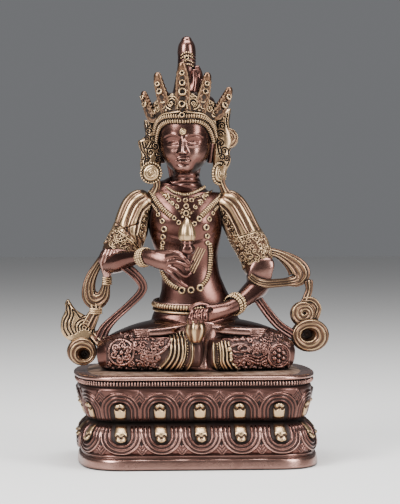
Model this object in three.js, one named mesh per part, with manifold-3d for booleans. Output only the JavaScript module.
// A seated, crowned altar figure on a double lotus throne, cast in copper alloy. One hand holds a thunderbolt
// sceptre upright before the chest, and the other holds a bell at the hip.
// Millimetres, +Z up. X runs across the figure and -Y is its front. The origin is the middle of the throne's
// underside.
import * as THREE from "three";
import Module from "manifold-3d";
import { mergeVertices } from "three/addons/utils/BufferGeometryUtils.js";

const wasm = await Module();
wasm.setup();

// Driving dimensions
const throne = {
  height: 46.5,
  halfWidth: 57, // of the plan that the petals stand on, without their bulge
  halfDepth: 38,
  corner: 20,
  petals: 18,
  waist: 23, // height where the two rows of petals meet
  lean: -0.055, // sideways for each millimetre of height, as it was cast
};
const headAxis = { x: -6.2, y: 0.5, turn: THREE.MathUtils.degToRad(-9) }; // it looks a little to its right
const crown = { radius: 14.6, foot: 170 };
const knee = { height: 55, reach: 47 };

const backwards = new THREE.Vector3(0, 1, 0);

// Solids and their joining
function solid(geometry, matrix) {
  const g = geometry.index ? geometry.toNonIndexed() : geometry.clone();
  g.deleteAttribute("normal");
  g.deleteAttribute("uv");
  if (matrix) g.applyMatrix4(matrix);
  const merged = mergeVertices(g, 1e-4);
  return new wasm.Manifold(
    new wasm.Mesh({
      numProp: 3,
      vertProperties: merged.attributes.position.array,
      triVerts: new Uint32Array(merged.index.array),
    }),
  );
}

const join = (solids) => solids.reduce((all, one) => all.add(one));

function toGeometry(manifold) {
  const m = manifold.getMesh();
  const places = new Float32Array(m.numVert * 3);
  for (let i = 0; i < m.numVert; i++) {
    places.set(m.vertProperties.subarray(i * m.numProp, i * m.numProp + 3), i * 3);
  }
  const g = new THREE.BufferGeometry();
  g.setAttribute("position", new THREE.BufferAttribute(places, 3));
  g.setIndex(new THREE.BufferAttribute(new Uint32Array(m.triVerts), 1));
  g.computeVertexNormals();
  return g;
}

// A closed body from rings of points, each ring the same length, with a pole at each end
function skin(rings, startPole, endPole) {
  const sides = rings[0].length;
  const points = [startPole, ...rings.flat(), endPole];
  const at = (ring, side) => 1 + ring * sides + (side % sides);
  const faces = [];
  for (let s = 0; s < sides; s++) {
    faces.push(0, at(0, s + 1), at(0, s));
    for (let r = 0; r < rings.length - 1; r++) {
      faces.push(at(r, s), at(r, s + 1), at(r + 1, s + 1));
      faces.push(at(r, s), at(r + 1, s + 1), at(r + 1, s));
    }
    faces.push(at(rings.length - 1, s), at(rings.length - 1, s + 1), points.length - 1);
  }
  const g = new THREE.BufferGeometry();
  g.setAttribute("position", new THREE.Float32BufferAttribute(points.flatMap((p) => p.toArray()), 3));
  g.setIndex(faces);
  const made = solid(g);
  if (made.volume() > 0) return made;
  g.setIndex(faces.map((_, k) => faces[k - (k % 3) + 2 - (k % 3)]));
  return solid(g);
}

// A limb runs through oval rings [x, y, z, half width, half depth]. Depth is measured along back,
// width square to it. dome rounds the two ends by that share of their width, and flute sinks every other
// edge, as folds of cloth along the limb do.
function limb(rows, { sides = 8, dome = 0.6, flute = 0, back = backwards } = {}) {
  const last = rows.length - 1;
  const place = (k) => new THREE.Vector3(...rows[THREE.MathUtils.clamp(k, 0, last)]);
  const rings = [];
  const ends = [];
  rows.forEach(([, , , wide, deep = wide], k) => {
    const along = place(k + 1).sub(place(k - 1)).normalize();
    const across = new THREE.Vector3().crossVectors(back, along).normalize();
    const behind = new THREE.Vector3().crossVectors(along, across);
    const onRing = (side) => {
      const a = (2 * Math.PI * side) / sides;
      const sunk = side % 2 ? flute : 0;
      return place(k)
        .addScaledVector(across, (wide - sunk) * Math.cos(a))
        .addScaledVector(behind, (deep - sunk) * Math.sin(a));
    };
    rings.push(Array.from({ length: sides }, (_, side) => onRing(side)));
    const bulge = dome * Math.min(wide, deep);
    if (k === 0) ends.push(place(k).addScaledVector(along, -bulge));
    if (k === last) ends.push(place(k).addScaledVector(along, bulge));
  });
  return skin(rings, ...ends);
}

// An egg of the three half sizes, turned about the vertical
function egg([x, y, z], [a, b, c], { sides = 8, turn = 0, tilt = 0 } = {}) {
  const matrix = new THREE.Matrix4()
    .makeTranslation(x, y, z)
    .multiply(new THREE.Matrix4().makeRotationZ(turn))
    .multiply(new THREE.Matrix4().makeRotationX(tilt))
    .multiply(new THREE.Matrix4().makeScale(a, b, c))
    .multiply(new THREE.Matrix4().makeRotationX(Math.PI / 2));
  return solid(new THREE.SphereGeometry(1, sides, Math.ceil(sides / 2)), matrix);
}

// A turned body: profile is [radius, height] from the bottom up, on a vertical axis at x, y
function turned(profile, [x, y], sides = 12) {
  const points = profile.map(([r, z]) => new THREE.Vector2(r, z));
  const upright = new THREE.Matrix4()
    .makeTranslation(x, y, 0)
    .multiply(new THREE.Matrix4().makeRotationX(Math.PI / 2));
  return solid(new THREE.LatheGeometry(points, sides), upright);
}

// The throne's plan is a rectangle with round corners; a place on it is a distance from the front's middle
const flatX = throne.halfWidth - throne.corner;
const flatY = throne.halfDepth - throne.corner;
const cornerArc = (Math.PI / 2) * throne.corner;
const perimeter = 4 * (flatX + flatY + cornerArc);

function onPlan(distance, out, z) {
  let s = ((distance % perimeter) + perimeter) % perimeter;
  const side = s > perimeter / 2 ? -1 : 1;
  if (side < 0) s = perimeter - s;
  const stretches = [0, 1, 1, 2].map((corners, k) => flatX + corners * cornerArc + (k > 1 ? 2 * flatY : 0));
  const stretch = stretches.findIndex((end) => s <= end + 1e-9);
  const spots = {
    0: () => [s, -throne.halfDepth, -Math.PI / 2],
    1: () => onCorner(-flatY, (s - stretches[0]) / throne.corner - Math.PI / 2),
    2: () => [throne.halfWidth, s - stretches[1] - flatY, 0],
    3: () => onCorner(flatY, (s - stretches[2]) / throne.corner),
    "-1": () => [perimeter / 2 - s, throne.halfDepth, Math.PI / 2],
  };
  const [x, y, normal] = spots[stretch]();
  const shift = throne.lean * (z - throne.height / 2);
  return new THREE.Vector3(side * (x + out * Math.cos(normal)) + shift, y + out * Math.sin(normal), z);
}

function onCorner(y, normal) {
  return [flatX + throne.corner * Math.cos(normal), y + throne.corner * Math.sin(normal), normal];
}

// How far the throne's side stands out from its plan: [height, out]
const sideProfile = [
  [0, 1.7], [0.9, 2.5], [4.8, 2.6], [6.4, 1.1], [13, 0.3], [18, -1.4], [23.2, -5.4], [30, -3.4],
  [38.6, -0.6], [40, 0.9], [42.6, 1.1], [44, 2.4], [45.7, 2.1], [46.5, 0.4],
];

function sideOut(z) {
  const k = Math.max(1, sideProfile.findIndex(([height]) => height >= z));
  const [[z0, out0], [z1, out1]] = [sideProfile[k - 1], sideProfile[k]];
  return THREE.MathUtils.mapLinear(z, z0, z1, out0, out1);
}

function throneBody() {
  const cornerSteps = [0, 1 / 3, 2 / 3, 1];
  const cornerStarts = [flatX, flatX + cornerArc + 2 * flatY];
  const stops = cornerStarts.flatMap((start) => cornerSteps.map((k) => start + k * cornerArc));
  const around = [...stops, ...stops.map((s) => perimeter - s).reverse()];
  const rings = sideProfile.map(([z, out]) => around.map((s) => onPlan(s, out, z)));
  const shift = throne.lean * throne.height * 0.5;
  return skin(rings, new THREE.Vector3(-shift, 0, 0), new THREE.Vector3(shift, 0, throne.height));
}

// One lotus petal: an arch with a raised rim, a hollow inside the rim and a plump tongue in the hollow.
// row is 1 for the upper petals, whose tips point up, and -1 for the lower ones.
function petal(middle, row) {
  const gap = 0.4;
  const root = 0.6;
  const halfWidth = (perimeter / throne.petals - gap) / 2;
  const length = (row > 0 ? 15.6 : 15.4) - root;
  const levels = [{ size: 1, out: -1.8 }, { size: 0.98, out: 1.6 }, { size: 0.6, out: 0.7 }];
  const outline = [0, 0.14, 0.34, 0.66, 0.86, 1].map((share) => share * Math.PI);
  const onPetal = (across, along, out) => {
    const z = throne.waist + row * along;
    return onPlan(middle + across, sideOut(z) + out, z);
  };
  const onOutline = (a, { size, out }) => {
    const along = root + size * length * Math.pow(Math.sin(a), 0.8);
    return onPetal(size * halfWidth * Math.cos(a), along, out);
  };
  const rings = levels.map((level) => [
    ...outline.map((a) => onOutline(a, level)),
    onPetal(0, root / 2 + 2 * (1 - level.size), level.out),
  ]);
  return skin(rings, onPetal(0, 5, -2.2), onPetal(0, 4.6, 2.9));
}

function lotusThrone() {
  const pitch = perimeter / throne.petals;
  const ring = (row) => Array.from({ length: throne.petals }, (_, k) => petal(k * pitch, row));
  return join([throneBody(), ...ring(1), ...ring(-1)]);
}

// The figure, piece by piece. Rows are [x, y, z, half width, half depth] down or along each limb.
function torso() {
  return limb(
    [
      [0, 1, 46, 22, 19], [-0.4, 3, 60, 24, 17.6], [-0.8, 3, 68, 22.5, 15], [-1, 2.5, 76, 20, 12.5],
      [-1.8, 2, 84, 16.6, 10.5], [-2.8, 2, 91, 14.7, 9.6], [-4, 2, 100, 14.8, 10], [-5, 2, 111, 17.5, 11.5],
      [-5.6, 2.5, 121, 19, 12], [-5.6, 3.5, 128, 18, 10.5], [-5.2, 4, 133.5, 12, 8.5],
      [-4.8, 3.5, 137.5, 7.8, 7.4], [-4.8, 2.5, 141, 6.7, 6.9], [-5, 1.5, 148, 6.6, 6.8],
    ],
    { sides: 12, dome: 0 },
  );
}

function rightSleeve() {
  return limb(
    [
      [-18, 4, 130.5, 7.4, 8.4], [-27, 3.6, 127.6, 9.2, 10], [-32.4, 3, 121, 8.6, 9.6],
      [-34.8, 2.2, 113, 9.4, 9.8], [-37.2, 1.4, 106.5, 8.8, 9], [-40.7, 0.5, 101.5, 7, 7.4],
    ],
    { sides: 14, dome: 0.3, flute: 1.4 },
  );
}

function rightArm() {
  const arm = limb(
    [
      [-38, 1, 106, 6, 6], [-43.2, -1.4, 99.6, 5.8, 5.4], [-40, -7, 98.8, 5.2, 5],
      [-35, -12.5, 100.6, 4.3, 4.3], [-29.5, -19.5, 102, 3.6, 3.5], [-24, -25, 101.6, 4.4, 3.2],
      [-18, -29, 100, 5.2, 2.9], [-14, -30.8, 98.4, 4.8, 2.5],
    ],
    { sides: 8 },
  );
  const cuff = limb([[-44.4, 1, 102, 4.8, 4.8], [-43.4, -1, 88, 3, 3.4]], { sides: 6 });
  const bracelet = egg([-30.8, -17.8, 101.8], [3, 5, 5.2], { sides: 6, turn: -0.9 });
  return [arm, cuff, bracelet];
}

function finger(points, thick = 1.3) {
  return limb(points.map((at, k) => [...at, thick * (1 - 0.08 * k)]), { sides: 5 });
}

function rightHand() {
  const fingers = [
    [[-15, -31, 101], [-8, -35, 102.2], [-6, -36.8, 99]],
    [[-15, -31, 99], [-6, -34.6, 97], [-3.4, -34, 100]],
    [[-16, -30.4, 97.4], [-7, -33.2, 91.8], [-4.6, -33.4, 94.4]],
    [[-18, -29, 96.6], [-12.6, -31.6, 92], [-7, -32, 88.2]],
  ];
  const thumb = [[-22, -27, 103], [-15, -31.8, 104.4], [-10.4, -35, 103.6]];
  return [...fingers, thumb].map((points) => finger(points));
}

// A lotus-bud thunderbolt: its prongs close into a bud above a knobbed collar, and its shaft runs down
// into the hand
function sceptre() {
  const profile = [
    [0, 96], [1.7, 97], [1.7, 103.5], [3.5, 105], [3.5, 106.8], [2.4, 108], [2.4, 110], [3.8, 112.2],
    [4.4, 115], [3.6, 117.8], [1.6, 119.9], [0, 120.7],
  ];
  return turned(profile, [-6.7, -34.2], 8);
}

function leftSleeve() {
  return limb(
    [
      [7, 4, 130.5, 7.4, 8.4], [16, 3.6, 127.6, 9.2, 10], [22, 3, 119.5, 8.4, 9.5],
      [25.4, 2.2, 111, 8.9, 9.7], [29.4, 1, 104, 9.2, 9.3], [30.8, 0.4, 96, 8.2, 8.4],
      [29.8, -1, 86.5, 6.2, 6.6],
    ],
    { sides: 14, dome: 0.3, flute: 1.4 },
  );
}

function leftArm() {
  const arm = limb(
    [
      [30.5, 0, 92, 5.6, 5.6], [30.4, -3, 87.4, 5.8, 5.6], [26.5, -9, 84, 5.2, 5], [20, -17, 79.6, 4.4, 4.3],
      [13, -23, 76.4, 4.1, 3.9], [6, -27, 74.6, 4.6, 3.8], [1, -29.4, 73.6, 4.8, 3.6],
    ],
    { sides: 8 },
  );
  const bracelet = egg([20.8, -16, 80], [3.2, 5.8, 6], { sides: 6, turn: 0.85 });
  return [arm, bracelet];
}

function leftHand() {
  const fingers = [0, 1, 2, 3].map((k) => {
    const [x, z] = [3.4 - 2.6 * k, 76.2 - 0.4 * k];
    return [[x, -30.2, z], [x - 0.8, -34, z - 1.6], [x - 0.7, -32.6, z - 5]];
  });
  const thumb = [[3.4, -27.6, 77], [-0.6, -29.6, 79.4], [-3.4, -31.4, 78.2]];
  return [...fingers, thumb].map((points) => finger(points, 1.45));
}

function bell() {
  const profile = [
    [0, 60.6], [2, 61], [4, 63.4], [4.9, 66.2], [4.8, 69], [4.1, 70.4], [4.6, 71.4], [0, 72.4],
  ];
  return turned(profile, [-2.6, -31.2], 8);
}

// A folded leg: the thigh goes out to the knee, and the shin comes back across the front, where the robe's
// pleats ring its inner end. side is -1 for the figure's right leg and 1 for its left.
function leg(side) {
  const reach = side < 0 ? knee.reach + 1 : knee.reach - 1.2;
  const inner = side < 0 ? 0.6 : 6;
  const thigh = limb(
    [
      [0, 0, 60, 12, 17], [side * 14, -2, 60, 11.4, 17], [side * 26, -5, 58.4, 10.6, 16.6],
      [side * 36, -7.5, 56.8, 9, 14.6], [side * (reach - 3.4), -9, knee.height, 6.6, 9.6],
    ],
    { sides: 10, dome: 0.5 },
  );
  const [pleatPitch, pleatHeight] = [2.3, 1.3];
  const pleats = [5, 4, 3, 2, 1, 0].map((k) => {
    const radius = 7.9 + (k % 2 ? pleatHeight : 0);
    return [side * (inner + pleatPitch * k), -20.2, 54.8, radius];
  });
  const shin = limb(
    [
      [side * (reach - 5), -12, knee.height, 6.6, 8.4], [side * (reach - 13), -16.6, 55.2, 8.4, 9.6],
      [side * (inner + 16), -19.4, 55.2, 8.7, 8.7], ...pleats,
    ],
    { sides: 10, dome: 0.35 },
  );
  return [thigh, shin];
}

// A sole turned up on the opposite thigh
function foot(side) {
  const rows = [
    [8, -13.6, 67, 3.4, 4], [17, -17, 66.9, 3.6, 4.3], [25, -17.8, 65.9, 3.2, 4.8], [33, -17.6, 64.5, 2, 4.4],
  ];
  return limb(rows.map(([x, ...rest]) => [side * x, ...rest]), { sides: 6 });
}

// The end of the apron hangs between the shins and spreads on the seat
function apron() {
  const rows = [
    [8, -16, 66, 5, 3], [5, -20.5, 59, 4, 2.6], [2.6, -23.4, 52, 3.8, 2.6], [1.8, -25, 46, 4.8, 3],
  ];
  const fall = limb(rows, { sides: 6, dome: 0.2 });
  const spread = egg([1.6, -27.6, 46.4], [9.4, 5, 1.6]);
  return [fall, spread];
}

function belt() {
  const rows = [0.1, 0.3, 0.5, 0.7, 0.9].map((share) => {
    const a = Math.PI * share;
    return [-1.1 - 20.4 * Math.cos(a), 2.5 - 13.4 * Math.sin(a), 78.5 - 4.8 * Math.sin(a), 2];
  });
  return limb(rows, { sides: 6 });
}

// Everything on the head is placed round its axis: angle 0 is straight ahead of the face
function roundHead(angle, radius, z) {
  const a = angle + headAxis.turn;
  return [headAxis.x + radius * Math.sin(a), headAxis.y - radius * Math.cos(a), z];
}

function onHead(rows, options) {
  const placed = rows.map(([angle, radius, z, ...sizes]) => [...roundHead(angle, radius, z), ...sizes]);
  return limb(placed, options);
}

function head() {
  const skull = onHead(
    [
      [0, 6.2, 143.4, 4, 4], [0, 4.6, 146.2, 8, 7.8], [0, 3, 150.4, 11, 10.6], [0, 1.6, 156, 12.5, 12.6],
      [0, 0.8, 162, 12.8, 13.6], [0, 0.2, 170, 12.4, 13],
    ],
    { sides: 10, dome: 0.4 },
  );
  const bridge = [[0, 12.8, 159, 0.9, 1], [0, 14.6, 154.4, 1.3, 1.4], [0, 14.6, 152.4, 1.8, 1.4]];
  const mouth = egg(roundHead(0, 12.7, 149), [2.7, 1.5, 1.2], { sides: 6, turn: headAxis.turn });
  const lids = [-0.42, 0.42].map((a) => {
    return egg(roundHead(a, 12.5, 157.6), [3.1, 1.5, 1.3], { sides: 6, turn: headAxis.turn + a });
  });
  return [skull, onHead(bridge, { sides: 5 }), mouth, ...lids];
}

// A rope of beads arches over the brow from ear to ear
function browRope() {
  const [ear, rise] = [155, 12.6];
  const rows = [-1.6, -1.2, -0.6, 0, 0.6, 1.2, 1.6].map((angle) => {
    return [angle, 14, ear + rise * Math.sqrt(Math.cos(angle / 1.1)), 1.9];
  });
  return onHead(rows, { sides: 4 });
}

// A leaf of the crown rises from the band, leans out and ends in a round tip
function crownLeaf(angle, tip, lean) {
  const facing = angle + headAxis.turn;
  const back = new THREE.Vector3(-Math.sin(facing), Math.cos(facing), 0);
  const rows = [
    [angle, crown.radius + 0.1 * lean, crown.foot + 1, 5.6, 2.6],
    [angle, crown.radius + 0.6 * lean, tip - 11, 3.6, 2.3],
    [angle, crown.radius + lean, tip - 1.8, 2.3, 1.8],
  ];
  return onHead(rows, { sides: 6, back, dome: 0.9 });
}

function crownAndHair() {
  const band = [[0, 0, 166, 14.4, 15], [0, 0, 171, 15.4, 16], [0, 0, 177, 14.8, 15.2]];
  const leaves = [
    [-1.25, 184.6, 6], [-0.63, 193.8, 6], [0, 197.4, 6], [0.63, 193.6, 6], [1.25, 187.4, 8.6],
  ].map(([angle, tip, lean]) => crownLeaf(angle, tip, lean));
  const knot = limb(
    [
      [-5.2, 3, 170, 10, 10], [-5, 3, 178, 8.4, 8.6], [-4.9, 3, 186, 6.8, 7], [-4.8, 3, 193, 5.4, 5.6],
      [-4.8, 3, 205, 4.4, 4.4], [-4.8, 3, 209.4, 3, 3],
    ],
    { sides: 7, dome: 0.85 },
  );
  const lock = ribbon([[1.6, 2, 183, 3.6, 4.2], [2.6, 2.4, 189, 3.1, 3.8], [1.4, 2.6, 195, 1.8, 2.4]]);
  const fall = limb([[-6, 10, 166, 11, 5], [-5.5, 10.6, 148, 8.4, 4], [-5.4, 11, 130, 5, 4]], { sides: 6 });
  return [onHead(band, { sides: 10, dome: 0.25 }), ...leaves, knot, lock, fall, browRope()];
}

// Rosettes at the ears, ribbons beside the face and the cords that run down to the shoulders
function sideOrnaments() {
  const rosettes = [
    egg([-22.1, -1, 144.2], [5.6, 2.4, 5.8], { turn: -0.1 }),
    egg([10.6, -1, 144], [4.2, 3.2, 6], { turn: -0.9 }),
  ];
  const ribbons = [
    [[-18.8, 1, 162, 2.2, 3], [-19.8, 0.6, 147.4, 2.2, 2.6]],
    [[6.8, 2, 162, 2.2, 3], [9.6, 1, 147.6, 2.2, 2.6]],
    [[-20.6, -0.4, 140.6, 2.4, 2], [-19.8, 0, 136.4, 1.8, 2], [-22, 1, 130.6, 2.6, 2]],
    [[11.6, -0.2, 140.6, 2.4, 2], [13.2, 0.4, 136, 1.8, 2], [15.8, 1.4, 130.6, 2.8, 2.2]],
    [
      [-20.8, 2.4, 166, 2.6, 2.4], [-25, 2, 152, 3.6, 2.2], [-25.6, 1.6, 145, 3.6, 2.2],
      [-21.4, 1, 140.6, 2.6, 2],
    ],
    [[-25.6, 2, 148.6, 2.6, 2], [-28.2, 2, 153.4, 2, 1.7], [-28.8, 2, 157, 1.2, 1.2]],
    [[15, 2, 175, 3, 2.6], [14, 2.4, 166, 2.6, 2.6], [14.6, 2.2, 153, 3.4, 2], [12.6, 1.4, 144.6, 2.8, 2]],
  ].map(ribbon);
  return [...rosettes, ...ribbons, roll([16, 2.4, 160.2], 5.4, 2.4)];
}

// A scarf end rolled up like a scroll, seen on its edge: two rims with a groove between them and a hole in
// the middle
function roll([x, y, z], radius, depth, squat = 1) {
  const section = [
    [0, 0.8], [0.9, 0.5], [1, -0.5], [0.82, -1], [0.66, -0.5], [0.48, -1], [0.28, 0], [0, 0],
  ]; // [share of the radius, share of the depth towards the back]
  const points = section.map(([r, d]) => new THREE.Vector2(r * radius, d * depth));
  const matrix = new THREE.Matrix4()
    .makeTranslation(x, y, z)
    .multiply(new THREE.Matrix4().makeScale(1, 1, squat));
  return solid(new THREE.LatheGeometry(points.reverse(), 8), matrix);
}

function ribbon(rows) {
  return limb(rows, { sides: 4 });
}

function rightScarf() {
  const loop = limb(
    [
      [-44, 2.4, 107, 2.4, 4], [-48.6, 3, 99.6, 2.8, 3.2], [-52.6, 3, 91.6, 3.1, 2.6],
      [-54, 2.6, 84, 3.5, 2.4], [-51, 2.2, 77.2, 4.4, 2.6], [-46.4, 1.6, 79.4, 4, 2.4],
      [-44.4, 0.6, 86, 2.6, 2.4], [-43.8, -0.6, 91, 2.4, 2.6],
    ],
    { sides: 6 },
  );
  const ribbons = [
    [[-51.4, 1.6, 75.4, 3.6, 2.4], [-52.4, 0.8, 71.4, 2.8, 2.2], [-54.4, 0, 66, 3.6, 2.6]],
    [[-59.6, 0, 66, 4.8, 2.4], [-61.8, 0.4, 74, 3.2, 2], [-63.8, 0.6, 79, 1.8, 1.6]],
    [[-60, 0, 69, 2.6, 2], [-65, 0, 67.6, 2.6, 2.2], [-66.4, -0.4, 62.6, 2.4, 2], [-60, -1, 60, 2.6, 2]],
    [[-51, -1.4, 61.4, 3.6, 2.6], [-45, -5, 57, 3.4, 4]],
    [
      [-35, -10.6, 97.4, 1.8, 3.2], [-29.2, -11, 93.6, 2, 3], [-25.6, -9.4, 87.4, 2, 2.6],
      [-30, -7.6, 80.4, 1.9, 2.3], [-38, -5.6, 73.2, 1.9, 2.1], [-45, -4.4, 66.4, 2.6, 2.2],
      [-47.6, -4, 60.4, 3.4, 2.8],
    ],
  ];
  return [loop, ...ribbons.map(ribbon), roll([-57.6, -1, 65.8], 6.4, 3), roll([-55.6, -2, 55.4], 8.2, 4)];
}

function leftScarf() {
  const loop = limb(
    [
      [29, 2, 106.6, 3, 4.4], [36.6, 2.8, 105, 2.8, 3.4], [45, 3, 102.2, 3, 2.6], [53, 3, 97, 3.6, 2.6],
      [56.2, 2.6, 91, 3.8, 2.6], [50, 2, 87.8, 3, 2.6], [42, 1.2, 88.2, 2.8, 2.8], [34, 0, 88.6, 3, 3.8],
      [27, -1.6, 90, 2.8, 5],
    ],
    { sides: 6 },
  );
  const ribbons = [
    [[57.6, 2.4, 90, 3, 2.6], [56.2, 2, 83.4, 2, 2.2], [54.4, 1.6, 76, 2.6, 2.2]],
    [[54.6, 1.6, 77.4, 2.2, 2], [59, 1, 77, 2.4, 2], [62, 0.8, 73, 2.4, 2], [59, 0.4, 68, 2.4, 2]],
    [
      [29.6, -3.4, 79.4, 1.9, 2.6], [36, -4.2, 71.4, 2.4, 2.4], [43, -4.2, 63.4, 2.7, 2.4],
      [49, -3, 57.6, 2.8, 2.6],
    ],
  ];
  const rolls = [roll([54.8, 0.6, 71.6], 6.6, 3.2), roll([57.4, -1, 61.6], 10.4, 4.6, 0.88)];
  return [loop, ...ribbons.map(ribbon), ...rolls];
}

// The long garland of beads, the collar round the neck and its pendant
function necklaces() {
  const garland = limb(
    [
      [-17.6, -4.6, 132.4], [-16.4, -9.6, 123], [-19, -10, 110], [-16.6, -8.6, 97], [-10.4, -9.2, 90.4],
      [-3, -9.6, 88], [4.8, -8.8, 91], [8.6, -9, 103], [7.4, -10.2, 119], [6.2, -4.6, 132.6],
    ].map((at) => [...at, 1.6]),
    { sides: 4 },
  );
  const collar = limb(
    [0, 0.25, 0.5, 0.75, 1].map((share) => {
      const a = Math.PI * share;
      return [-5.1 - 11.4 * Math.cos(a), 2.4 - 11 * Math.sin(a), 134.4 - 6.8 * Math.sin(a), 2.2, 1.6];
    }),
    { sides: 5 },
  );
  return [garland, collar, egg([-5.9, -10.2, 122.6], [2.4, 1.6, 3], { sides: 6 })];
}

function seatedFigure() {
  const all = join([
    torso(), ...necklaces(), ...head(), ...crownAndHair(), ...sideOrnaments(),
    rightSleeve(), ...rightArm(), ...rightHand(), sceptre(),
    leftSleeve(), ...leftArm(), ...leftHand(), bell(),
    ...leg(-1), ...leg(1), foot(-1), foot(1), ...apron(), belt(), ...rightScarf(), ...leftScarf(),
  ]);
  const below = new THREE.Matrix4().makeTranslation(0, 0, throne.height - 50);
  return all.subtract(solid(new THREE.BoxGeometry(200, 200, 100), below));
}

// Materials and the scene graph
function copper(color, roughness) {
  return new THREE.MeshStandardMaterial({ color, roughness, metalness: 1 });
}

function piece(name, made, finish) {
  const mesh = new THREE.Mesh(toGeometry(made), finish);
  mesh.name = name;
  return mesh;
}

const statue = new THREE.Group();
statue.add(piece("lotus_throne", lotusThrone(), copper(0x7a4a3c, 0.38)));
statue.add(piece("seated_figure", seatedFigure(), copper(0x86543f, 0.36)));

export default statue;
